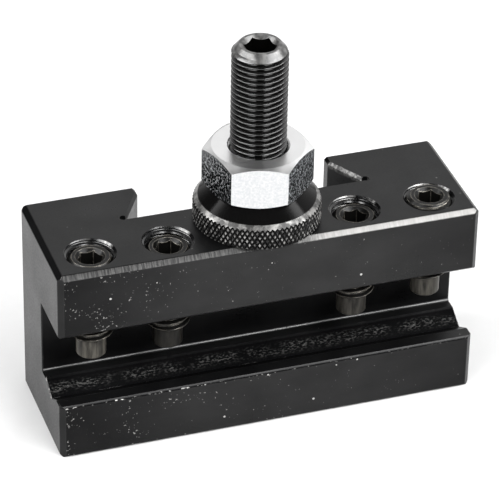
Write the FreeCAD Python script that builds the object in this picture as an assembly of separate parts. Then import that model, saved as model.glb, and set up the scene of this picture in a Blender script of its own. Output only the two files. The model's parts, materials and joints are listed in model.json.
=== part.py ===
import FreeCAD, Part
import math
import os

# A dovetail tool holder for a small lathe's quick change tool post, the pattern that takes turning
# and facing tools in its slot and small boring bars in the V along the slot's floor.
# Millimetres. The origin is the centre of the body's bottom face: +X along the tool slot,
# +Y from the slot's open side towards the dovetail, +Z up.

# Body block. Distances named "from_front" are measured from the front face.
BODY_LENGTH = 77.0
BODY_DEPTH = 24.7
BODY_HEIGHT = 38.0
END_CHAMFER = 0.95
FRONT_TOP_CHAMFER = 0.85
EDGE_BREAK = 0.4

# Tool slot, with the V for round bars in its floor and a small fillet at the foot of its wall
SLOT_FLOOR_Z = 10.9
SLOT_HEIGHT = 14.4
SLOT_WALL_FROM_FRONT = 12.0
SLOT_FOOT_RADIUS = 0.6
SLOT_ROOF_RADIUS = 0.4
SLOT_LIP_BREAK = 0.6
CLAMP_LINE_FROM_FRONT = 6.3
V_DEPTH = 2.1
V_HALF_ANGLE = 60.0

# Dovetail socket in the back, open at the top and the bottom
DOVETAIL_FLAT_FROM_FRONT = 14.8
DOVETAIL_THROAT_HALF = 17.8
DOVETAIL_LAND = 2.3
DOVETAIL_FLANK_ANGLE = 30.0
DOVETAIL_CHAMFER = 0.5
RELIEF_RADIUS = 0.7
RELIEF_OUTSET = 0.3
RELIEF_BITE = 0.1

# Clamp screws: M8 socket set screws with dog points, shown at the heights they were left at
CLAMP_X = (-31.1, -17.15, 17.15, 31.1)
CLAMP_POINT_Z = (17.4, 16.9, 17.0, 18.5)
CLAMP_NAMES = ("clamp_screw_1", "clamp_screw_2", "clamp_screw_3", "clamp_screw_4")
CLAMP_LENGTH = 20.0
CLAMP_RADIUS = 3.95
CLAMP_HOLE_RADIUS = 4.0
CLAMP_TOP_CHAMFER = 0.55
CLAMP_SHOULDER_CHAMFER = 0.6
CLAMP_KEY = 4.0
CLAMP_KEY_DEPTH = 4.5
DOG_RADIUS = 2.65
DOG_LENGTH = 4.3
DOG_CHAMFER = 0.35
HOLE_COUNTERSINK = 0.45

# Height stud: M10 fine thread, screwed into the top of the body
STUD_FROM_FRONT = 9.3
STUD_RADIUS = 4.95
STUD_HOLE_RADIUS = 5.0
STUD_HOLE_COUNTERSINK = 0.3
STUD_HOLE_RUNOUT = 0.6
STUD_TOP_Z = 72.6
STUD_LENGTH = 45.0
STUD_TIP_HEIGHT = 1.45
STUD_TIP_RADIUS = 3.77
STUD_FOOT_CHAMFER = 0.8
STUD_KEY = 5.0
STUD_KEY_DEPTH = 6.0
STUD_KEY_TURN = 41.0

# Knurled height nut: it carries the holder on the tool post's top face
NUT_BORE_RADIUS = 5.02
KNURL_RADIUS = 11.3
KNURL_FOOT_CHAMFER = 0.45
KNURL_TOP = 3.75
KNURL_RIM_RADIUS = 10.45
KNURL_RIM_HEIGHT = 4.65
HUB_RADIUS = 8.0
HEIGHT_NUT_HEIGHT = 6.6
BORE_CHAMFER = 0.4

# Lock nut: plain hexagon, chamfered at both ends
LOCK_NUT_FLATS = 17.0
LOCK_NUT_HEIGHT = 8.0
LOCK_NUT_GAP = 0.1
LOCK_NUT_FACE_RADIUS = 8.15
LOCK_NUT_CHAMFER_ANGLE = 30.0
LOCK_NUT_TURN = 44.0

# Shared
HEX_SIDES = 6
DRILL_POINT_ANGLE = 30.0
FULL_TURN = 360.0
ARC_MIDDLE = 1 - math.cos(math.radians(45))
OVERCUT = 2.0


def from_front(distance):
    return distance - BODY_DEPTH / 2


def face_of(points):
    wire = Part.makePolygon([FreeCAD.Vector(*p) for p in points + points[:1]])
    return Part.Face(wire)


def arc(start, middle, end):
    ends = [FreeCAD.Vector(*p) for p in (start, middle, end)]
    return Part.Arc(*ends).toShape()


def line(start, end):
    return Part.makeLine(FreeCAD.Vector(*start), FreeCAD.Vector(*end))


def revolved(profile, x, y):
    # profile: (radius, height) points of one half section, turned about a vertical axis at x, y
    face = face_of([(radius, 0.0, height) for radius, height in profile])
    solid = face.revolve(FreeCAD.Vector(0, 0, 0), FreeCAD.Vector(0, 0, 1), FULL_TURN)
    solid.translate(FreeCAD.Vector(x, y, 0))
    return solid


def hexagon(flats, x, y, bottom, height, turn=0.0):
    corner = flats / 2 / math.cos(math.pi / HEX_SIDES)
    angles = [math.radians(turn + FULL_TURN / HEX_SIDES * step) for step in range(HEX_SIDES)]
    points = [(x + corner * math.cos(a), y + corner * math.sin(a), bottom) for a in angles]
    return face_of(points).extrude(FreeCAD.Vector(0, 0, height))


def key_socket(flats, depth, x, y, mouth_z, turn=0.0):
    # a hexagon socket with the drilled cone at its bottom
    drill = flats / 2
    drop = drill * math.tan(math.radians(DRILL_POINT_ANGLE))
    socket = hexagon(flats, x, y, mouth_z - depth, depth + OVERCUT, turn)
    point = Part.makeCone(0.0, drill, drop)
    point.translate(FreeCAD.Vector(x, y, mouth_z - depth - drop))
    return socket.fuse(point)


def side_profile():
    # the body's section across its length: rail, V, slot, wall and top block
    x = -BODY_LENGTH / 2
    front = from_front(0)
    back = from_front(BODY_DEPTH)
    wall = from_front(SLOT_WALL_FROM_FRONT)
    roof = SLOT_FLOOR_Z + SLOT_HEIGHT
    v_half = V_DEPTH * math.tan(math.radians(V_HALF_ANGLE))
    v_centre = from_front(CLAMP_LINE_FROM_FRONT)
    foot = SLOT_FOOT_RADIUS
    top_radius = SLOT_ROOF_RADIUS
    outline = [
        (x, wall - foot, SLOT_FLOOR_Z),
        (x, v_centre + v_half, SLOT_FLOOR_Z),
        (x, v_centre, SLOT_FLOOR_Z - V_DEPTH),
        (x, v_centre - v_half, SLOT_FLOOR_Z),
        (x, front + EDGE_BREAK, SLOT_FLOOR_Z),
        (x, front, SLOT_FLOOR_Z - EDGE_BREAK),
        (x, front, EDGE_BREAK),
        (x, front + EDGE_BREAK, 0),
        (x, back - EDGE_BREAK, 0),
        (x, back, EDGE_BREAK),
        (x, back, BODY_HEIGHT - EDGE_BREAK),
        (x, back - EDGE_BREAK, BODY_HEIGHT),
        (x, front + FRONT_TOP_CHAMFER, BODY_HEIGHT),
        (x, front, BODY_HEIGHT - FRONT_TOP_CHAMFER),
        (x, front, roof + SLOT_LIP_BREAK),
        (x, front + SLOT_LIP_BREAK, roof),
        (x, wall - top_radius, roof),
    ]
    edges = [line(a, b) for a, b in zip(outline, outline[1:])]
    edges.append(
        arc(
            (x, wall - top_radius, roof),
            (x, wall - top_radius * ARC_MIDDLE, roof - top_radius * ARC_MIDDLE),
            (x, wall, roof - top_radius),
        )
    )
    edges.append(line((x, wall, roof - top_radius), (x, wall, SLOT_FLOOR_Z + foot)))
    edges.append(
        arc(
            (x, wall, SLOT_FLOOR_Z + foot),
            (x, wall - foot * ARC_MIDDLE, SLOT_FLOOR_Z + foot * ARC_MIDDLE),
            (x, wall - foot, SLOT_FLOOR_Z),
        )
    )
    return Part.Face(Part.Wire(edges)).extrude(FreeCAD.Vector(BODY_LENGTH, 0, 0))


def plan_block():
    # seen from above: chamfered front corners, broken back corners
    end = BODY_LENGTH / 2
    front = from_front(0)
    back = from_front(BODY_DEPTH)
    points = [
        (-end, front + END_CHAMFER, 0),
        (-end + END_CHAMFER, front, 0),
        (end - END_CHAMFER, front, 0),
        (end, front + END_CHAMFER, 0),
        (end, back - EDGE_BREAK, 0),
        (end - EDGE_BREAK, back, 0),
        (-end + EDGE_BREAK, back, 0),
        (-end, back - EDGE_BREAK, 0),
    ]
    return face_of(points).extrude(FreeCAD.Vector(0, 0, BODY_HEIGHT))


def front_block():
    # seen from the front: chamfered top ends, broken bottom ends
    end = BODY_LENGTH / 2
    y = from_front(0)
    points = [
        (-end + EDGE_BREAK, y, 0),
        (end - EDGE_BREAK, y, 0),
        (end, y, EDGE_BREAK),
        (end, y, BODY_HEIGHT - END_CHAMFER),
        (end - END_CHAMFER, y, BODY_HEIGHT),
        (-end + END_CHAMFER, y, BODY_HEIGHT),
        (-end, y, BODY_HEIGHT - END_CHAMFER),
        (-end, y, EDGE_BREAK),
    ]
    return face_of(points).extrude(FreeCAD.Vector(0, BODY_DEPTH, 0))


def dovetail_wire(z, grow):
    # the socket's outline at height z, its sides moved outwards by grow
    slope = math.tan(math.radians(DOVETAIL_FLANK_ANGLE))
    flat = from_front(DOVETAIL_FLAT_FROM_FRONT)
    land = from_front(BODY_DEPTH - DOVETAIL_LAND)
    outside = from_front(BODY_DEPTH + OVERCUT)
    throat = DOVETAIL_THROAT_HALF + grow
    land += grow * math.tan(math.radians(DOVETAIL_FLANK_ANGLE / 2))
    root = throat + (land - flat) * slope
    right = [(throat, outside, z), (throat, land, z), (root, flat, z)]
    left = [(-px, py, pz) for px, py, pz in reversed(right)]
    points = [FreeCAD.Vector(*p) for p in right + left]
    return Part.makePolygon(points + points[:1])


def dovetail_cutter():
    slope = math.tan(math.radians(DOVETAIL_FLANK_ANGLE))
    flat = from_front(DOVETAIL_FLAT_FROM_FRONT)
    land = from_front(BODY_DEPTH - DOVETAIL_LAND)
    root = DOVETAIL_THROAT_HALF + (land - flat) * slope
    socket = Part.Face(dovetail_wire(0, 0)).extrude(FreeCAD.Vector(0, 0, BODY_HEIGHT))
    chamfer = DOVETAIL_CHAMFER
    low_wires = [dovetail_wire(0, chamfer), dovetail_wire(chamfer, 0)]
    high_wires = [dovetail_wire(BODY_HEIGHT - chamfer, 0), dovetail_wire(BODY_HEIGHT, chamfer)]
    flares = [Part.makeLoft(wires, True, True) for wires in (low_wires, high_wires)]
    cutter = socket.fuse(flares)
    relief_y = flat + RELIEF_RADIUS - RELIEF_BITE
    for side in (-1, 1):
        relief = Part.makeCylinder(RELIEF_RADIUS, BODY_HEIGHT)
        relief.translate(FreeCAD.Vector(side * (root + RELIEF_OUTSET), relief_y, 0))
        cutter = cutter.fuse(relief)
    return cutter


def clamp_hole(x):
    # through to the slot, countersunk at both ends
    roof = SLOT_FLOOR_Z + SLOT_HEIGHT
    radius = CLAMP_HOLE_RADIUS
    sink = HOLE_COUNTERSINK
    profile = [
        (0, roof - OVERCUT),
        (radius + sink, roof - OVERCUT),
        (radius + sink, roof),
        (radius, roof + sink),
        (radius, BODY_HEIGHT - sink),
        (radius + sink, BODY_HEIGHT),
        (radius + sink, BODY_HEIGHT + OVERCUT),
        (0, BODY_HEIGHT + OVERCUT),
    ]
    return revolved(profile, x, from_front(CLAMP_LINE_FROM_FRONT))


def stud_hole():
    # through to the slot, where it just notches the top of the slot's wall
    foot = SLOT_FLOOR_Z + SLOT_HEIGHT - STUD_HOLE_RUNOUT
    radius = STUD_HOLE_RADIUS
    sink = STUD_HOLE_COUNTERSINK
    profile = [
        (0, foot),
        (radius, foot),
        (radius, BODY_HEIGHT - sink),
        (radius + sink, BODY_HEIGHT),
        (radius + sink, BODY_HEIGHT + OVERCUT),
        (0, BODY_HEIGHT + OVERCUT),
    ]
    return revolved(profile, 0, from_front(STUD_FROM_FRONT))


def holder_body():
    solid = side_profile().common(plan_block()).common(front_block())
    solid = solid.cut(dovetail_cutter())
    for x in CLAMP_X:
        solid = solid.cut(clamp_hole(x))
    return solid.cut(stud_hole()).removeSplitter()


def clamp_screw(x, point_z):
    y = from_front(CLAMP_LINE_FROM_FRONT)
    top = point_z + CLAMP_LENGTH
    shoulder = point_z + DOG_LENGTH
    profile = [
        (0, point_z),
        (DOG_RADIUS - DOG_CHAMFER, point_z),
        (DOG_RADIUS, point_z + DOG_CHAMFER),
        (DOG_RADIUS, shoulder),
        (CLAMP_RADIUS - CLAMP_SHOULDER_CHAMFER, shoulder),
        (CLAMP_RADIUS, shoulder + CLAMP_SHOULDER_CHAMFER),
        (CLAMP_RADIUS, top - CLAMP_TOP_CHAMFER),
        (CLAMP_RADIUS - CLAMP_TOP_CHAMFER, top),
        (0, top),
    ]
    return revolved(profile, x, y).cut(key_socket(CLAMP_KEY, CLAMP_KEY_DEPTH, x, y, top))


def height_stud():
    y = from_front(STUD_FROM_FRONT)
    bottom = STUD_TOP_Z - STUD_LENGTH
    profile = [
        (0, bottom),
        (STUD_RADIUS - STUD_FOOT_CHAMFER, bottom),
        (STUD_RADIUS, bottom + STUD_FOOT_CHAMFER),
        (STUD_RADIUS, STUD_TOP_Z - STUD_TIP_HEIGHT),
        (STUD_TIP_RADIUS, STUD_TOP_Z),
        (0, STUD_TOP_Z),
    ]
    socket = key_socket(STUD_KEY, STUD_KEY_DEPTH, 0, y, STUD_TOP_Z, STUD_KEY_TURN)
    return revolved(profile, 0, y).cut(socket)


def knurled_height_nut():
    bottom = BODY_HEIGHT
    profile = [
        (NUT_BORE_RADIUS + BORE_CHAMFER, bottom),
        (KNURL_RADIUS - KNURL_FOOT_CHAMFER, bottom),
        (KNURL_RADIUS, bottom + KNURL_FOOT_CHAMFER),
        (KNURL_RADIUS, bottom + KNURL_TOP),
        (KNURL_RIM_RADIUS, bottom + KNURL_RIM_HEIGHT),
        (HUB_RADIUS, bottom + HEIGHT_NUT_HEIGHT),
        (NUT_BORE_RADIUS + BORE_CHAMFER, bottom + HEIGHT_NUT_HEIGHT),
        (NUT_BORE_RADIUS, bottom + HEIGHT_NUT_HEIGHT - BORE_CHAMFER),
        (NUT_BORE_RADIUS, bottom + BORE_CHAMFER),
    ]
    return revolved(profile, 0, from_front(STUD_FROM_FRONT))


def lock_nut():
    y = from_front(STUD_FROM_FRONT)
    bottom = BODY_HEIGHT + HEIGHT_NUT_HEIGHT + LOCK_NUT_GAP
    top = bottom + LOCK_NUT_HEIGHT
    cone_run = LOCK_NUT_HEIGHT / 2 / math.tan(math.radians(LOCK_NUT_CHAMFER_ANGLE))
    double_cone = [
        (0, bottom),
        (LOCK_NUT_FACE_RADIUS, bottom),
        (LOCK_NUT_FACE_RADIUS + cone_run, (bottom + top) / 2),
        (LOCK_NUT_FACE_RADIUS, top),
        (0, top),
    ]
    bore = revolved(
        [
            (0, bottom - OVERCUT),
            (NUT_BORE_RADIUS + BORE_CHAMFER + OVERCUT, bottom - OVERCUT),
            (NUT_BORE_RADIUS, bottom + BORE_CHAMFER),
            (NUT_BORE_RADIUS, top - BORE_CHAMFER),
            (NUT_BORE_RADIUS + BORE_CHAMFER + OVERCUT, top + OVERCUT),
            (0, top + OVERCUT),
        ],
        0,
        y,
    )
    prism = hexagon(LOCK_NUT_FLATS, 0, y, bottom, LOCK_NUT_HEIGHT, LOCK_NUT_TURN)
    return prism.common(revolved(double_cone, 0, y)).cut(bore)


def write(name, shape):
    solids = shape.Solids
    if len(solids) != 1 or not shape.isValid():
        raise ValueError(name + " is not one valid solid")
    solids[0].exportStep("parts/" + name + ".step")


os.makedirs("parts", exist_ok=True)
write("holder_body", holder_body())
write("height_stud", height_stud())
write("knurled_height_nut", knurled_height_nut())
write("lock_nut", lock_nut())
for screw_name, screw_x, screw_point_z in zip(CLAMP_NAMES, CLAMP_X, CLAMP_POINT_Z):
    write(screw_name, clamp_screw(screw_x, screw_point_z))
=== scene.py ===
import json
import math

import bmesh
import bpy
from mathutils import Matrix, Vector, noise


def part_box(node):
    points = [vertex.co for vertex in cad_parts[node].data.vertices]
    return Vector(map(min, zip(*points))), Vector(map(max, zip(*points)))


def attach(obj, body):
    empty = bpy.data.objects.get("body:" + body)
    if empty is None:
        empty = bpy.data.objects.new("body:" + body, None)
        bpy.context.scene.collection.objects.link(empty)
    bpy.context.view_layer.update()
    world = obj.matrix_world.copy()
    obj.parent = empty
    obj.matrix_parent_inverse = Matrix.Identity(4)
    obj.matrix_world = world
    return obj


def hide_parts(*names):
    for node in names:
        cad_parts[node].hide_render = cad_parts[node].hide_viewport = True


# A dovetail tool holder with its height stud, knurled height nut, lock nut and four clamp screws.
# Shapes are built in millimetres, where booleans are well behaved, and scaled to metres at the end.

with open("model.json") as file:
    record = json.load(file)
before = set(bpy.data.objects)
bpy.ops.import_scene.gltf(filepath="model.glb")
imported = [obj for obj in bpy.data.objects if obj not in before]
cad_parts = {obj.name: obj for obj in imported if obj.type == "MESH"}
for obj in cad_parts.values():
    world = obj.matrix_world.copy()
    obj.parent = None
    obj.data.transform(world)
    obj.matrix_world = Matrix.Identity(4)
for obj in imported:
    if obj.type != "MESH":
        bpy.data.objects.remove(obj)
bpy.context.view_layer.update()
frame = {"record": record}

MM_PER_M = 1000.0
FULL_TURN = 2 * math.pi
HEX_SIDES = 6


def cad_box_mm(node):
    low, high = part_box(node)
    return low * MM_PER_M, high * MM_PER_M


def mount_mm(name):
    mount = next(m for m in frame["record"]["mounts"] if m["name"] == name)
    return Vector(mount["pos_m"]) * MM_PER_M


# ---- driving sizes, in millimetres, from the frame -------------------------------------------------

body_low, body_high = cad_box_mm("holder_body")
stud_low, stud_high = cad_box_mm("height_stud")
knurl_low, knurl_high = cad_box_mm("knurled_height_nut")
lock_low, lock_high = cad_box_mm("lock_nut")

HALF_LENGTH = body_high.x
FRONT = body_low.y
BACK = body_high.y
TOP = body_high.z
SLOT_FLOOR = mount_mm("slot_floor").z
SLOT_WALL = mount_mm("slot_wall").y
V_CENTRE = mount_mm("v_floor").y
V_DEPTH = SLOT_FLOOR - mount_mm("v_floor").z
DOVETAIL_FLAT = mount_mm("dovetail_socket").y
STUD_X = (stud_low.x + stud_high.x) / 2
STUD_Y = (stud_low.y + stud_high.y) / 2
STUD_RADIUS = (stud_high.x - stud_low.x) / 2
clamp_boxes = [cad_box_mm(f"clamp_screw_{number}") for number in range(1, 5)]
CLAMP_XS = [(low.x + high.x) / 2 for low, high in clamp_boxes]
CLAMP_Y = (clamp_boxes[0][0].y + clamp_boxes[0][1].y) / 2

# body details
END_CHAMFER = 0.95
FRONT_TOP_CHAMFER = 0.85
EDGE_BREAK = 0.4
EDGE_ROUND = 0.13
SLOT_HEIGHT = 14.4
SLOT_FOOT_RADIUS = 0.6
SLOT_ROOF_RADIUS = 0.4
SLOT_LIP_BREAK = 0.6
SLOT_END_BREAK = 0.18
V_HALF_ANGLE = math.radians(60)
THROAT_HALF = 17.8
DOVETAIL_LAND = 2.3
DOVETAIL_ANGLE = math.radians(30)
DOVETAIL_SLOPE = math.tan(DOVETAIL_ANGLE)
DOVETAIL_CHAMFER = 0.5
RELIEF_RADIUS = 0.7
RELIEF_OUTSET = 0.3
RELIEF_BITE = 0.1
OVERCUT = 2.0

# how far the shaper's marks stand off the V's flanks
V_CHATTER = 0.16
V_GRAIN = 0.02
V_FRONT_SHARE = 0.35
V_SMOOTH_BEYOND = 0.97

# threads: round crests, 60 degree flanks and round roots
THREAD_FLANK = math.radians(60)
STUD_PITCH = 1.0
STUD_THREAD_DEPTH = 0.6
CLAMP_PITCH = 1.25
CLAMP_THREAD_DEPTH = 0.72
BORE_RADIUS = 5.02
CLAMP_HOLE_RADIUS = 4.0
STUD_HOLE_RADIUS = 5.0
STUD_HOLE_RUNOUT = 0.6
STUD_HOLE_THREAD_DEPTH = 0.3
HOLE_THREAD_DEPTH = 0.55
HOLE_COUNTERSINK = 0.62

# knurled height nut, heights from its foot
KNURL_RADIUS = (knurl_high.x - knurl_low.x) / 2
KNURL_FOOT_CHAMFER = 0.45
KNURL_TOP = 3.75
KNURL_RIM_RADIUS = 10.45
KNURL_RIM_HEIGHT = 4.65
KNURL_TEETH = 80
KNURL_HELIX = math.radians(30)
KNURL_DEPTH = 0.32
KNURL_STEPS = 3
KNURL_FLAT_TOP = 0.8
KNURL_SKIN = 0.01
NUT_EDGE_BREAK = 0.04
HUB_RADIUS = 8.0
BORE_CHAMFER = 0.4

# lock nut
LOCK_NUT_FLATS = 17.0
LOCK_NUT_FACE_RADIUS = 8.15
LOCK_NUT_CHAMFER = math.radians(30)
LOCK_NUT_TURN = math.radians(44)
LOCK_NUT_EDGE = 0.22

# keys and screw ends
STUD_KEY = 5.0
STUD_KEY_DEPTH = 6.0
STUD_KEY_TURN = math.radians(41)
STUD_TIP_HEIGHT = 1.45
STUD_TIP_RADIUS = 3.77
STUD_FOOT_CHAMFER = 0.8
STUD_KEY_LEAD = 0.3
SOCKET_FLOOR_SLOPE = math.radians(30)
SOCKET_FLOOR_RISE = 0.1
CLAMP_KEY = 4.0
CLAMP_KEY_DEPTH = 4.5
CLAMP_KEY_LEAD = 0.32
CLAMP_TOP_CHAMFER = 0.55
CLAMP_SHOULDER_CHAMFER = 0.6
DOG_RADIUS = 2.65
DOG_LENGTH = 4.3
DOG_CHAMFER = 0.35
DOG_WEAR = (0.75, 0.12, 0.4, 0.6)


# ---- mesh tools ------------------------------------------------------------------------------------


def new_object(name, bm):
    bmesh.ops.remove_doubles(bm, verts=bm.verts, dist=1e-5)
    bmesh.ops.recalc_face_normals(bm, faces=bm.faces)
    mesh = bpy.data.meshes.new(name)
    bm.to_mesh(mesh)
    bm.free()
    made = bpy.data.objects.new(name, mesh)
    bpy.context.scene.collection.objects.link(made)
    return made


def apply_modifier(target, modifier):
    depsgraph = bpy.context.evaluated_depsgraph_get()
    result = bpy.data.meshes.new_from_object(target.evaluated_get(depsgraph))
    target.modifiers.remove(modifier)
    old = target.data
    target.data = result
    bpy.data.meshes.remove(old)


def carve(target, tool, operation="DIFFERENCE"):
    """Cuts tool out of target, or keeps what they share, and removes tool."""
    modifier = target.modifiers.new(operation, "BOOLEAN")
    modifier.object = tool
    modifier.operation = operation
    modifier.solver = "MANIFOLD"
    apply_modifier(target, modifier)
    bpy.data.objects.remove(tool)
    return target


def loft(name, sections):
    """A closed solid through sections that have the same number of points, with flat ends."""
    bm = bmesh.new()
    rings = [[bm.verts.new(point) for point in section] for section in sections]
    for lower, upper in zip(rings, rings[1:]):
        for k in range(len(lower)):
            after = (k + 1) % len(lower)
            bm.faces.new((lower[k], lower[after], upper[after], upper[k]))
    bm.faces.new(rings[0])
    bm.faces.new(rings[-1])
    return new_object(name, bm)


def circle(radius, x, y, z, segments):
    angles = [FULL_TURN * k / segments for k in range(segments)]
    return [(x + radius * math.cos(a), y + radius * math.sin(a), z) for a in angles]


def revolved(name, profile, x, y, segments=144):
    """A solid of revolution about a vertical axis; profile is (radius, height) from foot to top."""
    return loft(name, [circle(radius, x, y, z, segments) for radius, z in profile])


def hexagon(name, flats, x, y, low, high, turn=0.0, edge=0.0):
    corner = flats / 2 / math.cos(math.pi / HEX_SIDES)
    angles = [turn + FULL_TURN * k / HEX_SIDES for k in range(HEX_SIDES)]
    corners = [Vector((corner * math.cos(a), corner * math.sin(a))) for a in angles]
    outline = []
    for k, point in enumerate(corners):
        before = (corners[k - 1] - point).normalized()
        after = (corners[(k + 1) % HEX_SIDES] - point).normalized()
        if edge:
            middle = point * (1 - edge / corner / 4)
            outline += [point + before * edge, middle, point + after * edge]
        else:
            outline.append(point)
    return loft(name, [[(x + p.x, y + p.y, z) for p in outline] for z in (low, high)])


def thread_form(major, minor, pitch):
    """One pitch of the thread as (share of the pitch, radius): round crest, 60 degree V, round root."""
    rounding = pitch * math.sin(THREAD_FLANK) - (major - minor)
    crest = 0.45 * rounding
    root = 0.55 * rounding
    middle = crest * math.sin(THREAD_FLANK)
    form = []
    for lean in (-1.0, -0.6, -0.2, 0.2, 0.6, 1.0):
        angle = THREAD_FLANK * lean
        form.append(((middle + crest * math.sin(angle)) / pitch, major - crest * (1 - math.cos(angle))))
    bottom = (pitch / 2 + middle) / pitch
    for lean in (-1.0, 0.0, 1.0):
        angle = THREAD_FLANK * lean
        form.append((bottom + root * math.sin(angle) / pitch, minor + root * (1 - math.cos(angle))))
    return form


def threaded_rod(name, major, minor, pitch, x, y, low, high, columns=72):
    """A right-hand thread on a rod that runs past low and high. Its rows follow the helix, so that
    after one turn each row meets the next turn of the thread."""
    form = thread_form(major, minor, pitch)
    count = len(form)
    turns = math.ceil((high - low) / pitch) + 2
    rows = turns * count
    bm = bmesh.new()

    def corner(column, row):
        share, radius = form[row % count]
        angle = FULL_TURN * column / columns
        z = low + pitch * (row // count - 1 + share + column / columns)
        return bm.verts.new((x + radius * math.cos(angle), y + radius * math.sin(angle), z))

    first = [corner(0, row) for row in range(rows + count)]
    grid = [first] + [[corner(c, row) for row in range(rows)] for c in range(1, columns)]
    grid.append(first[count:])
    for left, right in zip(grid, grid[1:]):
        for row in range(rows - 1):
            bm.faces.new((left[row], right[row], right[row + 1], left[row + 1]))
    foot_rim = [column[0] for column in grid] + first[count - 1 : 0 : -1]
    head_rim = [column[rows - 1] for column in grid] + first[rows + count - 2 : rows - 1 : -1]
    for rim, z in ((foot_rim, low - 2 * pitch), (head_rim, low + pitch * (turns + 1))):
        middle = bm.verts.new((x, y, z))
        for k in range(len(rim)):
            bm.faces.new((middle, rim[k], rim[(k + 1) % len(rim)]))
    return new_object(name, bm)


def trimmed_thread(name, major, pitch, profile, x, y, depth):
    """A threaded rod kept inside a solid of revolution, so that the thread fades out on chamfers."""
    low = min(z for _, z in profile)
    high = max(z for _, z in profile)
    rod = threaded_rod(name, major, major - depth, pitch, x, y, low, high)
    return carve(rod, revolved("envelope", profile, x, y), "INTERSECT")


def cut_key_socket(target, flats, depth, x, y, mouth, lead, turn=0.0):
    """A hexagon socket with a coned floor; lead is how far its corners are broken at the mouth."""
    inside = flats / 2
    foot = mouth - depth
    carve(target, hexagon("socket", flats, x, y, foot, mouth + OVERCUT, turn))
    drop = inside * math.tan(SOCKET_FLOOR_SLOPE)
    rise = SOCKET_FLOOR_RISE
    floor_cone = [(0, foot - drop), (inside, foot), (inside, foot + rise), (0, foot + rise)]
    carve(target, revolved("socket_floor", floor_cone, x, y, 48))
    wide = inside / math.cos(math.pi / HEX_SIDES) + lead
    mouth_cone = [(0, mouth - wide), (wide, mouth), (wide, mouth + OVERCUT), (0, mouth + OVERCUT)]
    carve(target, revolved("socket_mouth", mouth_cone, x, y, 72))


def cut_thread(target, radius, pitch, depth, x, y, low, high):
    """A threaded hole from low to high whose crests stand at radius."""
    root = radius + depth
    rod = threaded_rod("tap", root, radius, pitch, x, y, low, high)
    clip = [(0, low), (root + 1, low), (root + 1, high), (0, high)]
    carve(target, carve(rod, revolved("tap_clip", clip, x, y), "INTERSECT"))


def countersink(target, wide, x, y, end, out):
    """A 90 degree countersink that is wide at the face at height end; out is the way out of the hole."""
    cone = [(0, end - out * wide), (wide, end), (wide, end + out * OVERCUT), (0, end + out * OVERCUT)]
    carve(target, revolved("countersink", cone, x, y))


def shaded(target, angle):
    """Smooth shading, weighted by the size of the faces, with edges sharper than angle kept crisp."""
    bm = bmesh.new()
    bm.from_mesh(target.data)
    bmesh.ops.dissolve_degenerate(bm, edges=bm.edges, dist=1e-4)
    for face in bm.faces:
        face.smooth = True
    for edge in bm.edges:
        edge.smooth = edge.is_manifold and edge.calc_face_angle(0) < angle
    bm.to_mesh(target.data)
    bm.free()
    modifier = target.modifiers.new("weighted", "WEIGHTED_NORMAL")
    modifier.keep_sharp = True
    apply_modifier(target, modifier)


def finished(target, node, body, material, crisp_angle=math.radians(27)):
    """Turns a millimetre mesh into a piece of the object that stands for its CAD node."""
    shaded(target, crisp_angle)
    target.data.transform(Matrix.Scale(1 / MM_PER_M, 4))
    target.data.materials.clear()
    target.data.materials.append(material)
    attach(target, body)
    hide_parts(node)
    return target


# ---- pieces ----------------------------------------------------------------------------------------


def trim(bm, point, normal):
    """Takes off everything beyond a plane and closes the cut."""
    everything = bm.verts[:] + bm.edges[:] + bm.faces[:]
    cut = bmesh.ops.bisect_plane(bm, geom=everything, plane_co=point, plane_no=normal, clear_outer=True)
    edges = [item for item in cut["geom_cut"] if isinstance(item, bmesh.types.BMEdge)]
    bmesh.ops.contextual_create(bm, geom=edges)


def body_block():
    """The outside of the body: a block with its chamfers and softly rounded edges."""
    bm = bmesh.new()
    bmesh.ops.create_cube(bm, size=1)
    size = Vector((2 * HALF_LENGTH, BACK - FRONT, TOP))
    bmesh.ops.scale(bm, vec=size, verts=bm.verts)
    bmesh.ops.translate(bm, vec=(0, (BACK + FRONT) / 2, TOP / 2), verts=bm.verts)
    for side in (-1, 1):
        end = side * HALF_LENGTH
        trim(bm, (end - side * END_CHAMFER, FRONT, 0), (side, -1, 0))
        trim(bm, (end - side * END_CHAMFER, 0, TOP), (side, 0, 1))
        trim(bm, (end - side * EDGE_BREAK, BACK, 0), (side, 1, 0))
        trim(bm, (end - side * EDGE_BREAK, 0, 0), (side, 0, -1))
    trim(bm, (0, FRONT, TOP - FRONT_TOP_CHAMFER), (0, -1, 1))
    trim(bm, (0, FRONT, EDGE_BREAK), (0, -1, -1))
    trim(bm, (0, BACK, TOP - EDGE_BREAK), (0, 1, 1))
    trim(bm, (0, BACK, EDGE_BREAK), (0, 1, -1))
    bmesh.ops.bevel(bm, geom=bm.edges[:], offset=EDGE_ROUND, segments=2, profile=0.5, affect="EDGES")
    return new_object("slot_holder_body", bm)


def arc_points(centre, radius, start, end, steps=5):
    angles = [math.radians(start + (end - start) * k / steps) for k in range(steps + 1)]
    return [(centre[0] + radius * math.cos(a), centre[1] + radius * math.sin(a)) for a in angles]


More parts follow.
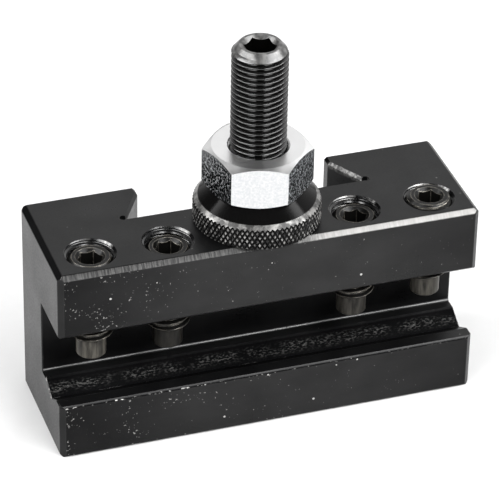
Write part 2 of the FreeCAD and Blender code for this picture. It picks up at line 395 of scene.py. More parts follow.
def slot_section(grow):
    """The slot and its V in the (y, z) plane, moved outwards by grow, open towards the front."""
    roof = SLOT_FLOOR + SLOT_HEIGHT + grow
    floor = SLOT_FLOOR - grow
    wall = SLOT_WALL + grow
    lip = SLOT_LIP_BREAK
    v_half = V_DEPTH * math.tan(V_HALF_ANGLE)
    steps = 9
    front_flank = [
        (V_CENTRE - v_half * (1 - k / steps), floor - V_DEPTH * k / steps) for k in range(steps)
    ]
    rear_flank = [
        (V_CENTRE + v_half * k / steps, floor - V_DEPTH * (1 - k / steps)) for k in range(steps + 1)
    ]
    roof_corner = (wall - SLOT_ROOF_RADIUS, roof - SLOT_ROOF_RADIUS)
    foot_corner = (wall - SLOT_FOOT_RADIUS, floor + SLOT_FOOT_RADIUS)
    points = [(FRONT - OVERCUT, floor - EDGE_BREAK - OVERCUT), (FRONT + EDGE_BREAK, floor)]
    points += front_flank + rear_flank
    points += arc_points(foot_corner, SLOT_FOOT_RADIUS, -90, 0)
    points += arc_points(roof_corner, SLOT_ROOF_RADIUS, 0, 90)
    points += [(FRONT + lip, roof), (FRONT - OVERCUT, roof + lip + OVERCUT)]
    return points


def v_roughness(x, y, z):
    """How far the shaper's chatter stands off the V's flanks, in millimetres."""
    chatter = noise.noise(Vector((x * 2.1, y * 1.3, 3.0))) * noise.noise(Vector((x * 0.35, y * 0.6, 9.0)))
    grain = noise.noise(Vector((x * 5.0, y * 4.0, z * 4.0)))
    return V_CHATTER * chatter + V_GRAIN * grain


def slot_cutter():
    """The tool slot, swept along the body, with broken end edges and a rough V."""
    inner = HALF_LENGTH - SLOT_END_BREAK
    slices = 280
    stations = [(-HALF_LENGTH - OVERCUT, SLOT_END_BREAK + OVERCUT), (-inner, 0.0)]
    stations += [(-inner + 2 * inner * k / slices, 0.0) for k in range(1, slices)]
    stations += [(inner, 0.0), (HALF_LENGTH + OVERCUT, SLOT_END_BREAK + OVERCUT)]
    v_half = V_DEPTH * math.tan(V_HALF_ANGLE)
    sections = []
    for x, grow in stations:
        section = []
        for y, z in slot_section(grow):
            in_v = abs(y - V_CENTRE) / v_half < V_SMOOTH_BEYOND and z < SLOT_FLOOR
            if in_v and grow == 0:
                z += v_roughness(x, y, z) * (1 if y > V_CENTRE else V_FRONT_SHARE)
            section.append((x, y, z))
        sections.append(section)
    return loft("slot", sections)


def dovetail_section(z, grow):
    """The dovetail socket's outline at height z, its sides moved outwards by grow."""
    land = BACK - DOVETAIL_LAND + grow * math.tan(math.radians(15))
    throat = THROAT_HALF + grow
    root = throat + (land - DOVETAIL_FLAT) * DOVETAIL_SLOPE
    mouth = throat + OVERCUT + EDGE_BREAK
    right = [
        (mouth, BACK + OVERCUT, z),
        (throat, BACK - EDGE_BREAK, z),
        (throat, land, z),
        (root, DOVETAIL_FLAT, z),
    ]
    return right + [(-x, y, z) for x, y, z in reversed(right)]


def dovetail_cutter():
    chamfer = DOVETAIL_CHAMFER
    over = chamfer + OVERCUT
    levels = [(-OVERCUT, over), (chamfer, 0), (TOP - chamfer, 0), (TOP + OVERCUT, over)]
    return loft("dovetail", [dovetail_section(z, grow) for z, grow in levels])


def holder_body(material):
    body = body_block()
    carve(body, slot_cutter())
    carve(body, dovetail_cutter())
    root = THROAT_HALF + (BACK - DOVETAIL_LAND - DOVETAIL_FLAT) * DOVETAIL_SLOPE
    for side in (-1, 1):
        relief = [(RELIEF_RADIUS, -OVERCUT), (RELIEF_RADIUS, TOP + OVERCUT)]
        y = DOVETAIL_FLAT + RELIEF_RADIUS - RELIEF_BITE
        carve(body, revolved("relief", relief, side * (root + RELIEF_OUTSET), y, 40))
    roof = SLOT_FLOOR + SLOT_HEIGHT
    beyond = TOP + OVERCUT
    for x in CLAMP_XS:
        low = roof - OVERCUT
        cut_thread(body, CLAMP_HOLE_RADIUS, CLAMP_PITCH, HOLE_THREAD_DEPTH, x, CLAMP_Y, low, beyond)
        countersink(body, CLAMP_HOLE_RADIUS + HOLE_COUNTERSINK, x, CLAMP_Y, roof, -1)
        countersink(body, CLAMP_HOLE_RADIUS + HOLE_COUNTERSINK, x, CLAMP_Y, TOP, 1)
    low = roof - STUD_HOLE_RUNOUT
    cut_thread(body, STUD_HOLE_RADIUS, STUD_PITCH, STUD_HOLE_THREAD_DEPTH, STUD_X, STUD_Y, low, beyond)
    countersink(body, STUD_HOLE_RADIUS + STUD_HOLE_THREAD_DEPTH, STUD_X, STUD_Y, TOP, 1)
    return finished(body, "holder_body", "holder", material)


def height_stud(material):
    profile = [
        (0, stud_low.z),
        (STUD_RADIUS - STUD_FOOT_CHAMFER, stud_low.z),
        (STUD_RADIUS, stud_low.z + STUD_FOOT_CHAMFER),
        (STUD_RADIUS, stud_high.z - STUD_TIP_HEIGHT),
        (STUD_TIP_RADIUS, stud_high.z - 0.08),
        (STUD_TIP_RADIUS - 0.1, stud_high.z),
        (0, stud_high.z),
    ]
    stud = trimmed_thread(
        "threaded_height_stud", STUD_RADIUS, STUD_PITCH, profile, STUD_X, STUD_Y, STUD_THREAD_DEPTH
    )
    cut_key_socket(
        stud, STUD_KEY, STUD_KEY_DEPTH, STUD_X, STUD_Y, stud_high.z, STUD_KEY_LEAD, STUD_KEY_TURN
    )
    return finished(stud, "height_stud", "holder", material)


def clamp_screw(number, material):
    node = f"clamp_screw_{number}"
    low, high = cad_box_mm(node)
    x = (low.x + high.x) / 2
    y = (low.y + high.y) / 2
    radius = (high.x - low.x) / 2
    shoulder = low.z + DOG_LENGTH
    profile = [
        (0, low.z),
        (DOG_RADIUS - DOG_CHAMFER, low.z),
        (DOG_RADIUS, low.z + DOG_CHAMFER),
        (DOG_RADIUS, shoulder),
        (radius - CLAMP_SHOULDER_CHAMFER, shoulder),
        (radius, shoulder + CLAMP_SHOULDER_CHAMFER),
        (radius, high.z - CLAMP_TOP_CHAMFER),
        (radius - CLAMP_TOP_CHAMFER, high.z),
        (0, high.z),
    ]
    name = f"dog_point_screw_{number}"
    screw = trimmed_thread(name, radius, CLAMP_PITCH, profile, x, y, CLAMP_THREAD_DEPTH)
    cut_key_socket(screw, CLAMP_KEY, CLAMP_KEY_DEPTH, x, y, high.z, CLAMP_KEY_LEAD)
    return finished(screw, node, f"screw_{number}", material)


def knurled_rod(low, high):
    """A rod with two crossing sets of V grooves, which leave rows of flat-topped pyramids. Every
    groove and every ridge runs along an edge of the mesh."""
    columns = KNURL_TEETH * 2 * KNURL_STEPS
    tooth = FULL_TURN * KNURL_RADIUS / KNURL_TEETH
    row_height = tooth / math.tan(KNURL_HELIX) / 2 / KNURL_STEPS
    rows = math.ceil((high - low) / row_height) + 1
    bm = bmesh.new()

    def ridge(steps):
        share = steps / (2 * KNURL_STEPS) % 1.0
        return 2 * min(share, 1 - share)

    def corner(column, row):
        height = min(ridge(column + row), ridge(column - row), KNURL_FLAT_TOP) / KNURL_FLAT_TOP
        radius = KNURL_RADIUS - KNURL_DEPTH * (1 - height)
        angle = FULL_TURN * column / columns
        x = STUD_X + radius * math.cos(angle)
        y = STUD_Y + radius * math.sin(angle)
        return bm.verts.new((x, y, low + row * row_height))

    grid = [[corner(column, row) for row in range(rows)] for column in range(columns)]
    for column in range(columns):
        near = grid[column]
        far = grid[(column + 1) % columns]
        for row in range(rows - 1):
            a, b, c, d = near[row], far[row], far[row + 1], near[row + 1]
            if (column // KNURL_STEPS + row // KNURL_STEPS) % 2 == 0:
                halves = ((a, b, c), (a, c, d))
            else:
                halves = ((a, b, d), (b, c, d))
            for half in halves:
                bm.faces.new(half)
    bm.faces.new([column[0] for column in grid])
    bm.faces.new([column[-1] for column in grid])
    return new_object("knurled_stop_nut", bm)


def cut_bore(target, low, high):
    """A nut's thread, chamfered at both ends."""
    foot = low - OVERCUT
    head = high + OVERCUT
    cut_thread(target, BORE_RADIUS, STUD_PITCH, HOLE_THREAD_DEPTH, STUD_X, STUD_Y, foot, head)
    countersink(target, BORE_RADIUS + BORE_CHAMFER, STUD_X, STUD_Y, low, -1)
    countersink(target, BORE_RADIUS + BORE_CHAMFER, STUD_X, STUD_Y, high, 1)


def knurled_height_nut(material):
    foot = knurl_low.z
    profile = [
        (0, foot),
        (KNURL_RADIUS - KNURL_FOOT_CHAMFER, foot),
        (KNURL_RADIUS + KNURL_SKIN, foot + KNURL_FOOT_CHAMFER),
        (KNURL_RADIUS + KNURL_SKIN, foot + KNURL_TOP),
        (KNURL_RIM_RADIUS, foot + KNURL_RIM_HEIGHT),
        (KNURL_RIM_RADIUS - 0.1, foot + KNURL_RIM_HEIGHT + NUT_EDGE_BREAK),
        (HUB_RADIUS + 0.05, knurl_high.z - NUT_EDGE_BREAK),
        (HUB_RADIUS, knurl_high.z),
        (0, knurl_high.z),
    ]
    nut = knurled_rod(foot - 0.5, knurl_high.z + 0.5)
    carve(nut, revolved("envelope", profile, STUD_X, STUD_Y, 192), "INTERSECT")
    cut_bore(nut, foot, knurl_high.z)
    return finished(nut, "knurled_height_nut", "height_nut", material)


def lock_nut(material):
    middle = (lock_low.z + lock_high.z) / 2
    waist = LOCK_NUT_FACE_RADIUS + (middle - lock_low.z) / math.tan(LOCK_NUT_CHAMFER)
    double_cone = [
        (0, lock_low.z),
        (LOCK_NUT_FACE_RADIUS, lock_low.z),
        (waist, middle),
        (LOCK_NUT_FACE_RADIUS, lock_high.z),
        (0, lock_high.z),
    ]
    foot = lock_low.z - 1
    head = lock_high.z + 1
    nut = hexagon(
        "hexagon_lock_nut", LOCK_NUT_FLATS, STUD_X, STUD_Y, foot, head, LOCK_NUT_TURN, LOCK_NUT_EDGE
    )
    carve(nut, revolved("envelope", double_cone, STUD_X, STUD_Y, 192), "INTERSECT")
    cut_bore(nut, lock_low.z, lock_high.z)
    return finished(nut, "lock_nut", "hex_lock_nut", material, math.radians(14))


# ---- materials -------------------------------------------------------------------------------------


class Shader:
    """A node material, written from the surface back."""

    def __init__(self, name):
        self.material = bpy.data.materials.new(name)
        self.material.use_nodes = True
        self.tree = self.material.node_tree
        self.surface = self.tree.nodes["Principled BSDF"]
        self.place = self.node("TexCoord").outputs["Object"]
        split = self.node("SeparateXYZ", Vector=self.place)
        self.x, self.y, self.z = split.outputs

    def feed(self, socket, value):
        if isinstance(value, bpy.types.NodeSocket):
            self.tree.links.new(value, socket)
        else:
            socket.default_value = value

    def node(self, kind, **inputs):
        made = self.tree.nodes.new("ShaderNode" + kind)
        for name, value in inputs.items():
            self.feed(made.inputs[name.replace("_", " ")], value)
        return made

    def math(self, operation, *values):
        made = self.tree.nodes.new("ShaderNodeMath")
        made.operation = operation
        for socket, value in zip(made.inputs, values):
            self.feed(socket, value)
        return made.outputs[0]

    def product(self, first, *others):
        for other in others:
            first = self.math("MULTIPLY", first, other)
        return first

    def remap(self, value, low, high, to_low=0.0, to_high=1.0):
        made = self.node("MapRange")
        for socket, number in zip(made.inputs[:5], (value, low, high, to_low, to_high)):
            self.feed(socket, number)
        return made.outputs[0]

    def where(self, mask, inside, outside=1.0):
        """inside where the mask is 1, outside where it is 0."""
        return self.remap(mask, 0, 1, outside, inside)

    def strongest(self, first, *others):
        for other in others:
            first = self.math("MAXIMUM", first, other)
        return first

    def stretched(self, scale):
        made = self.tree.nodes.new("ShaderNodeVectorMath")
        made.operation = "MULTIPLY"
        self.feed(made.inputs[0], self.place)
        made.inputs[1].default_value = scale
        return made.outputs[0]

    def noise(self, scale, detail=3.0, stretch=(1, 1, 1)):
        return self.node("TexNoise", Vector=self.stretched(stretch), Scale=scale, Detail=detail).outputs[0]

    def specks(self, first, second, cells, rarity, low=0.02, high=0.07):
        """Small dots scattered over the plane of two coordinates, cells to the metre."""
        flat = self.node("CombineXYZ", X=first, Y=second)
        made = self.tree.nodes.new("ShaderNodeTexVoronoi")
        made.voronoi_dimensions = "2D"
        self.feed(made.inputs["Vector"], flat.outputs[0])
        made.inputs["Scale"].default_value = cells
        chance = self.node("SeparateColor", Color=made.outputs["Color"])
        radius = self.remap(chance.outputs[1], 0, 1, low, high)
        inside = self.math("LESS_THAN", made.outputs["Distance"], radius)
        chosen = self.math("GREATER_THAN", chance.outputs[0], rarity)
        return self.math("MULTIPLY", inside, chosen)

    def facing(self, direction, low, high):
        """1 where the surface's own normal points along direction."""
        made = self.tree.nodes.new("ShaderNodeVectorMath")
        made.operation = "DOT_PRODUCT"
        geometry = self.node("NewGeometry")
        self.feed(made.inputs[0], geometry.outputs["True Normal"])
        made.inputs[1].default_value = Vector(direction).normalized()
        return self.remap(made.outputs["Value"], low, high)

    def edges(self, radius, low, high):
        """1 along convex and concave edges, from how far a rounded normal leans off the true one."""
        geometry = self.node("NewGeometry")
        made = self.tree.nodes.new("ShaderNodeVectorMath")
        made.operation = "DOT_PRODUCT"
        rounded = self.node("Bevel", Radius=radius)
        self.feed(made.inputs[0], rounded.outputs[0])
        self.feed(made.inputs[1], geometry.outputs["True Normal"])
        return self.remap(made.outputs["Value"], high, low)

    def from_stud_axis(self):
        """The distance from the axis of the stud and its nuts."""
        x_off = self.math("SUBTRACT", self.x, metres(STUD_X))
        y_off = self.math("SUBTRACT", self.y, metres(STUD_Y))
        squared = self.math("ADD", self.product(x_off, x_off), self.product(y_off, y_off))
        return self.math("SQRT", squared)

    def in_clamp_holes(self):
        """1 inside the four clamp screw holes and on their countersinks."""
        y_off = self.math("SUBTRACT", self.y, metres(CLAMP_Y))
        nearest = None
        for x in CLAMP_XS:
            x_off = self.math("ABSOLUTE", self.math("SUBTRACT", self.x, metres(x)))
            nearest = x_off if nearest is None else self.math("MINIMUM", nearest, x_off)
        squared = self.math("ADD", self.product(nearest, nearest), self.product(y_off, y_off))
        reach = metres(CLAMP_HOLE_RADIUS + HOLE_COUNTERSINK)
        inside = self.math("LESS_THAN", squared, reach * reach)
        below_top = self.math("LESS_THAN", self.z, metres(TOP - 0.02))
        above_slot = self.math("GREATER_THAN", self.z, metres(SLOT_FLOOR + SLOT_HEIGHT + 1))
        return self.product(inside, below_top, above_slot)

    def between(self, value, low, high, soft):
        """1 where value is between low and high, with soft edges."""
        rise = self.remap(value, low - soft, low + soft)
        fall = self.remap(value, high + soft, high - soft)
        return self.math("MULTIPLY", rise, fall)

    def blend(self, factor, first, second):
        made = self.tree.nodes.new("ShaderNodeMix")
        made.data_type = "RGBA"
        self.feed(made.inputs["Factor"], factor)
        self.feed(made.inputs[6], first)
        self.feed(made.inputs[7], second)
        return made.outputs[2]

    def bump(self, height, distance, strength=1.0, normal=None):
        made = self.node("Bump", Height=height, Distance=distance, Strength=strength)
        if normal is not None:
            self.feed(made.inputs["Normal"], normal)
        return made.outputs[0]

    def finish(self, **inputs):
        for name, value in inputs.items():
            self.feed(self.surface.inputs[name.replace("_", " ")], value)
        return self.material


def metres(millimetres):
    return millimetres / MM_PER_M


def grey(value, tint=(1, 1, 1)):
    return (value * tint[0], value * tint[1], value * tint[2], 1)


STEEL = grey(0.62, (1.0, 0.985, 0.96))
OXIDE_DARK = grey(0.0022, (0.95, 0.97, 1.06))
OXIDE_LIGHT = grey(0.0042, (0.97, 0.98, 1.03))


def front_dust(s, front):
    """Pale dust on the front, crowded in patches towards the left, and a few larger dots."""
    leftward = s.remap(s.x, metres(30), metres(-38))
    patches = s.remap(s.noise(170, 2), 0.42, 0.62)
    threshold = s.where(s.product(leftward, leftward, patches), 0.59, 0.75)
    grains = s.math("SUBTRACT", s.noise(2300, 2.0), threshold)
    dust = s.product(s.remap(grains, 0, 0.03), front, 0.36)
    dots = s.product(s.specks(s.x, s.z, 240, 0.9, 0.02, 0.06), front, 0.8)
    return s.strongest(dust, dots)


def worn_edges(s, rail):
    """Steel along the body's edges, and on the rounded edge in front of the V, more at its left."""
    leftward = s.remap(s.x, metres(HALF_LENGTH - 0.5), metres(0.5 - HALF_LENGTH), 0.25, 0.9)
    rail_wear = s.product(rail, s.remap(s.noise(1200, 3), 0.6, 0.74), leftward)
    edges = s.product(s.edges(0.00018, 0.9, 0.995), s.remap(s.noise(420, 3), 0.56, 0.75), 0.18)
    return s.strongest(rail_wear, edges)


def rough_v(s, v_flank):
    """Small bright points in a band along the V's rear flank."""
    band = s.between(s.z, metres(SLOT_FLOOR - 1.6), metres(SLOT_FLOOR - 0.75), metres(0.3))
    points = s.remap(s.noise(2900, 4, (0.6, 1.3, 1.3)), 0.5, 0.64)
    patches = s.remap(s.noise(210, 3, (1, 2, 1)), 0.34, 0.58)
    return s.product(points, patches, v_flank, band, 0.12)


def rough_dovetail(s):
    """A rough band at the top of the dovetail's left-facing flank, and on the chamfer above it."""
    toward = (-math.cos(DOVETAIL_ANGLE), -math.sin(DOVETAIL_ANGLE))
    chamfer = s.facing((*toward, 1), 0.975, 0.995)
    upper = s.remap(s.z, metres(TOP - 1.3), metres(TOP - 0.6))
    flank = s.product(s.facing((*toward, 0), 0.98, 0.99), upper)
    return s.product(s.strongest(chamfer, flank), s.remap(s.noise(1500, 4), 0.42, 0.6, 0.04, 0.3))


def body_gloss(s, front, in_v, rail, holes):
    """How much the oxide reflects: more in the screw holes and in a band at the slot wall's foot, as
    painted highlights; almost nothing on the left end's top chamfer and less towards the front's left end,
    as painted shade; less also in the slot, the V, on the rail, the left end's front chamfer, and towards
    the front's right end and below the slot's floor.
    """
    # the front reflects less towards its left end, painted shade, and also towards its right end and below
    # the slot's floor
    left_end = s.remap(s.x, metres(-38), metres(-14), 0.36, 1.0)
    right_end = s.remap(s.x, metres(20), metres(38), 1.0, 0.66)
    lower = s.remap(s.z, metres(SLOT_FLOOR + 1), metres(SLOT_FLOOR), 1.0, 0.84)
    by_wall = s.between(s.y, metres(SLOT_WALL - 0.7), metres(SLOT_WALL + 0.1), metres(0.1))
    from_middle = s.math("ABSOLUTE", s.x)
    off_ends = s.remap(from_middle, metres(HALF_LENGTH - 0.1), metres(HALF_LENGTH - 0.3))
    wall = s.product(s.facing((0, -1, 0), 0.9, 0.99), by_wall, off_ends)
    # a band at the slot wall's foot reflects three times as much: a painted highlight
    foot_height = s.between(s.z, metres(SLOT_FLOOR + 0.03), metres(SLOT_FLOOR + 0.5), metres(0.03))
    foot = s.product(foot_height, by_wall, off_ends)
    return s.product(
        # the screw holes reflect more, a painted highlight; the left end's top chamfer almost nothing,
        # painted shade
        s.where(holes, 1.3, 0.46),
        s.remap(s.noise(110, 4, (1, 1, 1.8)), 0.35, 0.65, 0.84, 1.06),
        s.where(s.facing((-1, 0, 1), 0.96, 0.99), 0.08),
        s.where(in_v, 0.1),
        s.where(rail, 0.3),
        s.where(s.facing((-1, -1, 0), 0.96, 0.99), 0.6),
        s.where(wall, 0.42),
        s.where(foot, 3.0),
        s.where(front, s.product(left_end, right_end, lower)),
    )


def black_oxide_body():
    """Ground steel under black oxide: faint grinding lines, dust specks, and steel at worn edges."""
    s = Shader("black_oxide_body")
    cloud = s.noise(90, 4)
    grain = s.noise(2600, 2)
    ground = s.noise(60, 3, (1, 40, 40))
    on_front = s.remap(s.y, metres(FRONT + 0.2), metres(FRONT + 0.1))
    front = s.product(s.facing((0, -1, 0), 0.9, 0.99), on_front)
    rail = s.product(
        s.between(s.z, metres(SLOT_FLOOR - 0.42), metres(SLOT_FLOOR - 0.25), metres(0.04)),
        s.remap(s.y, metres(FRONT + 1.0), metres(FRONT + 0.8)),
    )
    v_flank = s.facing((0, -1, math.tan(V_HALF_ANGLE)), 0.93, 0.97)
    front_v_flank = s.facing((0, 1, math.tan(V_HALF_ANGLE)), 0.93, 0.97)
    below_floor = s.remap(s.z, metres(SLOT_FLOOR - 0.1), metres(SLOT_FLOOR - 0.3))
    in_v = s.product(s.strongest(v_flank, front_v_flank), below_floor)
    holes = s.in_clamp_holes()

    # the front's top chamfer: scored and dark at its left, smooth and bright at its right
    near_top = s.remap(s.z, metres(TOP - 2.1), metres(TOP - 2))
    chamfer = s.product(s.facing((0, -1, 1), 0.96, 0.995), near_top)
    milled = s.noise(340, 3, (9, 1, 1))
    rightward = s.remap(s.x, metres(2), metres(10))
    scored = s.remap(milled, 0.4, 0.62, 0.15, 1.5)
    smooth = s.remap(milled, 0.35, 0.65, 0.85, 1.06)
    chamfer_steel = s.product(chamfer, s.where(rightward, 0.4, 0.06), s.where(rightward, smooth, scored))

    top = s.facing((0, 0, 1), 0.9, 0.99)
    top_dust = s.product(s.remap(s.noise(1300, 1.5), 0.775, 0.8), top, 0.25)
    marks = s.strongest(
        front_dust(s, front),
        top_dust,
        rough_v(s, v_flank),
        worn_edges(s, rail),
        chamfer_steel,
        rough_dovetail(s),
    )

    oxide = s.blend(s.remap(cloud, 0.35, 0.65), OXIDE_DARK, OXIDE_LIGHT)
    roughness = s.math("ADD", s.remap(cloud, 0.3, 0.7, 0.3, 0.4), s.remap(grain, 0.3, 0.7, -0.05, 0.05))
    roughness = s.math("SUBTRACT", roughness, s.product(holes, 0.14))
    normal = s.bump(ground, 0.00001, 0.35)
    normal = s.bump(grain, 0.000006, 0.4, normal)
    normal = s.bump(s.product(milled, chamfer), 0.00008, s.where(rightward, 0.1, 0.6), normal)
    return s.finish(
        Base_Color=s.blend(marks, oxide, STEEL),
        Metallic=marks,
        Roughness=roughness,
        IOR=1.4,
        Specular_IOR_Level=body_gloss(s, front, in_v, rail, holes),
        Normal=normal,
    )


def black_oxide_thread():
    """Glossy oiled black oxide, its roots reflecting less than its crests as painted shade, and with the
    lead chamfer rubbed paler.
    """
    s = Shader("black_oxide_thread")
    tip_foot = stud_high.z - STUD_TIP_HEIGHT
    by_tip = s.remap(s.z, metres(tip_foot - 0.2), metres(tip_foot + 0.3))
    tip = s.product(by_tip, s.facing((0, 0, 1), 0.2, 0.4))
    bare = s.product(tip, s.remap(s.noise(900, 4), 0.42, 0.62, 0.02, 0.2))
    colour = s.blend(bare, grey(0.0015, (1.0, 0.96, 0.88)), STEEL)
    # the roots reflect less than the crests: painted shade in the thread's recesses
    root = metres(STUD_RADIUS - 0.42)
    crest = metres(STUD_RADIUS - 0.12)
    shine = s.remap(s.from_stud_axis(), root, crest, 0.12, 0.62)
    return s.finish(
        Base_Color=colour,
        Metallic=bare,
        Roughness=s.where(tip, 0.3, 0.14),
        IOR=1.8,
        Specular_IOR_Level=s.strongest(shine, s.where(tip, 0.5, 0.0)),
        Normal=s.bump(s.noise(2000, 2), 0.000004, 0.3),
    )


def black_oxide_knurl():
    """Black oxide, polished on the turned top, paler on the rim chamfer and the knurl's tips."""
    s = Shader("black_oxide_knurl")
    height = s.math("SUBTRACT", s.z, metres(knurl_low.z))
    rim = s.between(height, metres(KNURL_TOP - 0.45), metres(KNURL_RIM_HEIGHT + 0.02), metres(0.03))
    upward = s.facing((0, 0, 1), 0.5, 0.62)
    tips = s.remap(s.from_stud_axis(), metres(KNURL_RADIUS - 0.16), metres(KNURL_RADIUS - 0.02))
    tip_wear = s.product(tips, s.remap(s.noise(900, 2), 0.42, 0.6, 0.0, 0.6))
    rim_wear = s.product(rim, upward, s.remap(s.noise(700, 4), 0.4, 0.6, 0.06, 0.4))
    bare = s.strongest(tip_wear, rim_wear)
    cone = s.remap(height, metres(KNURL_RIM_HEIGHT), metres(KNURL_RIM_HEIGHT + 0.05))
    return s.finish(
        Base_Color=s.blend(bare, grey(0.003, (1.0, 0.97, 0.97)), STEEL),
        Metallic=bare,
        Roughness=s.where(cone, 0.12, 0.3),
        IOR=1.36,
        Specular_IOR_Level=s.where(cone, 0.17, 0.5),
        Normal=s.bump(s.noise(2400, 2), 0.000008, s.where(cone, 0.06, 0.5)),
    )


def zinc_plate():
    """Bright zinc with painted light: the top and the flat that faces the camera are pale as painted
    light, the front-right flat is half lit, and the other flats and the top chamfer's rear part are dark
    as painted shade; the fine bright specks on the flats are the plating's mottle, painted as glints.
    """
    s = Shader("zinc_plate")
    # the flat that faces the camera gets painted light, and the next flat round, at the front right, half
    # of it
    lit_flat_turn = LOCK_NUT_TURN + math.radians(210)
    half_lit_flat_turn = lit_flat_turn + math.radians(60)
    up = s.facing((0, 0, 1), 0.5, 0.8)
    lit_flat = s.facing((math.cos(lit_flat_turn), math.sin(lit_flat_turn), 0), 0.8, 0.95)
    paler = s.facing((math.cos(half_lit_flat_turn), math.sin(half_lit_flat_turn), 0), 0.8, 0.95)
    side = s.math("SUBTRACT", 1.0, s.strongest(lit_flat, up))
    mottle = s.noise(2600, 5)
    dull = s.product(s.remap(mottle, 0.62, 0.38), s.where(up, 0.12))
    smooth = s.blend(dull, grey(0.66), grey(0.56, (0.98, 1, 1.03)))
    # the top chamfer's rear part is painted darker: painted shade
    rear = s.facing((0, 1, 0.3), 0.35, 0.7)
    pale = s.blend(up, smooth, s.blend(rear, grey(0.97), grey(0.3)))
    # the other flats: dark as painted shade, lighter on the half-lit front-right flat, with bright specks
    # of mottle painted as glints
    specks = s.remap(s.noise(2500, 3), 0.52, 0.68)
    ground = s.blend(paler, grey(0.07, (0.95, 1, 1.05)), grey(0.34, (0.95, 1, 1.05)))
    bright = s.blend(paler, grey(0.42, (0.97, 1, 1.04)), grey(0.66, (0.97, 1, 1.04)))
    blotch = s.remap(s.noise(420, 3), 0.3, 0.7, -0.04, 0.04)
    normal = s.bump(mottle, 0.00004, s.where(up, 0.15))
    return s.finish(
        Base_Color=s.blend(side, pale, s.blend(specks, ground, bright)),
        Metallic=1.0,
        Roughness=s.math("ADD", s.where(up, 0.32, 0.13), blotch),
        Normal=s.bump(s.product(specks, side), 0.00006, 1.0, normal),
    )


def clamp_screw_steel(foot, wear):
    """Black oxide screw: brown-grey rubbed dog point, darker head, and steel at its worn edges."""
    s = Shader("clamp_screw_steel")
    height = s.math("SUBTRACT", s.z, metres(foot))
    dog = s.remap(height, metres(DOG_LENGTH + 0.02), metres(DOG_LENGTH - 0.02))
    streak = s.noise(260, 3, (6, 6, 1))
    rubbed = s.product(dog, s.remap(streak, 0.35, 0.65, 0.04 * wear, 0.2 * wear))
    rims = s.product(s.edges(0.0002, 0.9, 0.995), s.remap(s.noise(800, 3), 0.4, 0.6, 0.1, 0.7))
    worn_rims = s.product(rims, s.math("SUBTRACT", 1.0, dog))
    bare = s.strongest(rubbed, worn_rims)
    return s.finish(
        Base_Color=s.blend(bare, grey(0.003, (1.0, 0.95, 0.88)), grey(0.5, (1.0, 0.93, 0.8))),
        Metallic=bare,
        Roughness=s.remap(streak, 0.3, 0.7, 0.28, 0.42),
        IOR=1.4,
        Specular_IOR_Level=s.where(dog, 0.14, 0.34),
        Normal=s.bump(streak, 0.00003, 0.4),
    )


# ---- studio ----------------------------------------------------------------------------------------

AIM = Vector((1.634, 4.842, 25.554))
CAMERA_AZIMUTH = math.radians(-19.0)
CAMERA_ELEVATION = math.radians(33.3)
CAMERA_ROLL = math.radians(1.22)
CAMERA_DISTANCE = 587.8
CAMERA_LENS = 236.6
SENSOR_WIDTH = 36.0
SOFTBOX_DISTANCE = 0.7
SOFTBOX_SIZE = (1.0, 0.3)
FLOOR_HALF = 4.0
SWEEP_START = 0.1
SWEEP_END = 0.3


def direction(azimuth, elevation):
    """The unit vector from the object towards a place at that azimuth and elevation."""
    flat = math.cos(elevation)
    return Vector((math.sin(azimuth) * flat, -math.cos(azimuth) * flat, math.sin(elevation)))


def camera():
    data = bpy.data.cameras.new("camera")
    data.lens = CAMERA_LENS
    data.sensor_width = SENSOR_WIDTH
    data.clip_start = 0.01
    data.clip_end = 20.0
    made = bpy.data.objects.new("camera", data)
    bpy.context.scene.collection.objects.link(made)
    back = direction(CAMERA_AZIMUTH, CAMERA_ELEVATION)
    right = Vector((math.cos(CAMERA_AZIMUTH), math.sin(CAMERA_AZIMUTH), 0))
    up = back.cross(right)
    rolled_right = right * math.cos(CAMERA_ROLL) + up * math.sin(CAMERA_ROLL)
    rolled_up = up * math.cos(CAMERA_ROLL) - right * math.sin(CAMERA_ROLL)
    axes = Matrix((rolled_right, rolled_up, back)).transposed().to_4x4()
    made.matrix_world = Matrix.Translation((AIM + back * CAMERA_DISTANCE) / MM_PER_M) @ axes
    bpy.context.scene.camera = made


def softbox(name, azimuth, elevation, radiance):
    """An area light that faces the object and isn't seen itself."""
    width, height = SOFTBOX_SIZE
    data = bpy.data.lights.new(name, "AREA")
    data.shape = "RECTANGLE"
    data.size = width
    data.size_y = height
    data.energy = radiance * math.pi * width * height
    made = bpy.data.objects.new(name, data)
    bpy.context.scene.collection.objects.link(made)
    out = direction(math.radians(azimuth), math.radians(elevation))
    made.location = AIM / MM_PER_M + out * SOFTBOX_DISTANCE
    made.rotation_mode = "QUATERNION"
    made.rotation_quaternion = out.to_track_quat("Z", "Y")
    made.visible_camera = False


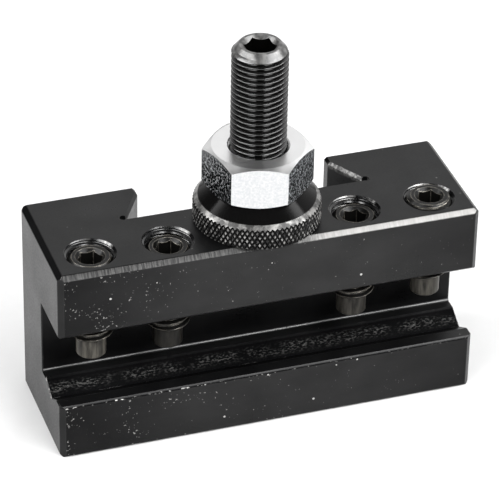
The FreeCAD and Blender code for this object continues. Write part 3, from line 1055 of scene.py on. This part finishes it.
def floor():
    """Pale paper, which runs out to plain white away from the object as a studio sweep does."""
    bm = bmesh.new()
    bmesh.ops.create_grid(bm, x_segments=8, y_segments=8, size=FLOOR_HALF)
    made = new_object("studio_floor", bm)
    s = Shader("studio_floor")
    paper = s.noise(300, 3)
    distance = s.math("SQRT", s.math("ADD", s.product(s.x, s.x), s.product(s.y, s.y)))
    seen = s.node("LightPath").outputs["Is Camera Ray"]
    sweep = s.product(s.remap(distance, SWEEP_START, SWEEP_END), seen)
    made.data.materials.append(
        s.finish(
            Base_Color=s.blend(sweep, s.blend(paper, grey(0.74), grey(0.78)), grey(0)),
            Emission_Color=grey(1),
            Emission_Strength=sweep,
            Roughness=0.75,
            Specular_IOR_Level=s.where(sweep, 0.0, 0.5),
            Normal=s.bump(paper, 0.0001, 0.1),
        )
    )


def surroundings():
    """White for the camera. For reflections, pale behind the object, and dark overhead, in front and
    far to the left."""
    world = bpy.data.worlds.new("studio")
    bpy.context.scene.world = world
    world.use_nodes = True
    tree = world.node_tree
    tree.nodes.clear()

    def node(kind):
        return tree.nodes.new("ShaderNode" + kind)

    def ramp(coordinate, *limits):
        made = node("MapRange")
        tree.links.new(coordinate, made.inputs[0])
        for socket, value in zip(made.inputs[1:5], limits):
            socket.default_value = value
        return made.outputs[0]

    split = node("SeparateXYZ")
    tree.links.new(node("TexCoord").outputs["Generated"], split.inputs[0])
    x, y, z = split.outputs
    level = ramp(z, 0.62, 0.85, 1.0, 0.02)
    for other in (ramp(y, -0.35, 0.2, 0.1, 1.2), ramp(x, -0.5, -0.1, 0.08, 1.0)):
        product = node("Math")
        product.operation = "MULTIPLY"
        tree.links.new(level, product.inputs[0])
        tree.links.new(other, product.inputs[1])
        level = product.outputs[0]

    seen = node("Background")
    seen.inputs["Color"].default_value = (1, 1, 1, 1)
    lit = node("Background")
    tree.links.new(level, lit.inputs["Strength"])
    mix = node("MixShader")
    tree.links.new(node("LightPath").outputs["Is Camera Ray"], mix.inputs[0])
    tree.links.new(lit.outputs[0], mix.inputs[1])
    tree.links.new(seen.outputs[0], mix.inputs[2])
    tree.links.new(mix.outputs[0], node("OutputWorld").inputs[0])


holder_body(black_oxide_body())
height_stud(black_oxide_thread())
knurled_height_nut(black_oxide_knurl())
lock_nut(zinc_plate())
for screw_number, ((low_corner, _), screw_wear) in enumerate(zip(clamp_boxes, DOG_WEAR), 1):
    clamp_screw(screw_number, clamp_screw_steel(low_corner.z, screw_wear))

floor()
surroundings()
softbox("left_softbox", -79, 40, 8)
softbox("right_softbox", 43, 40, 10)
camera()
bpy.context.scene.view_settings.view_transform = "Standard"
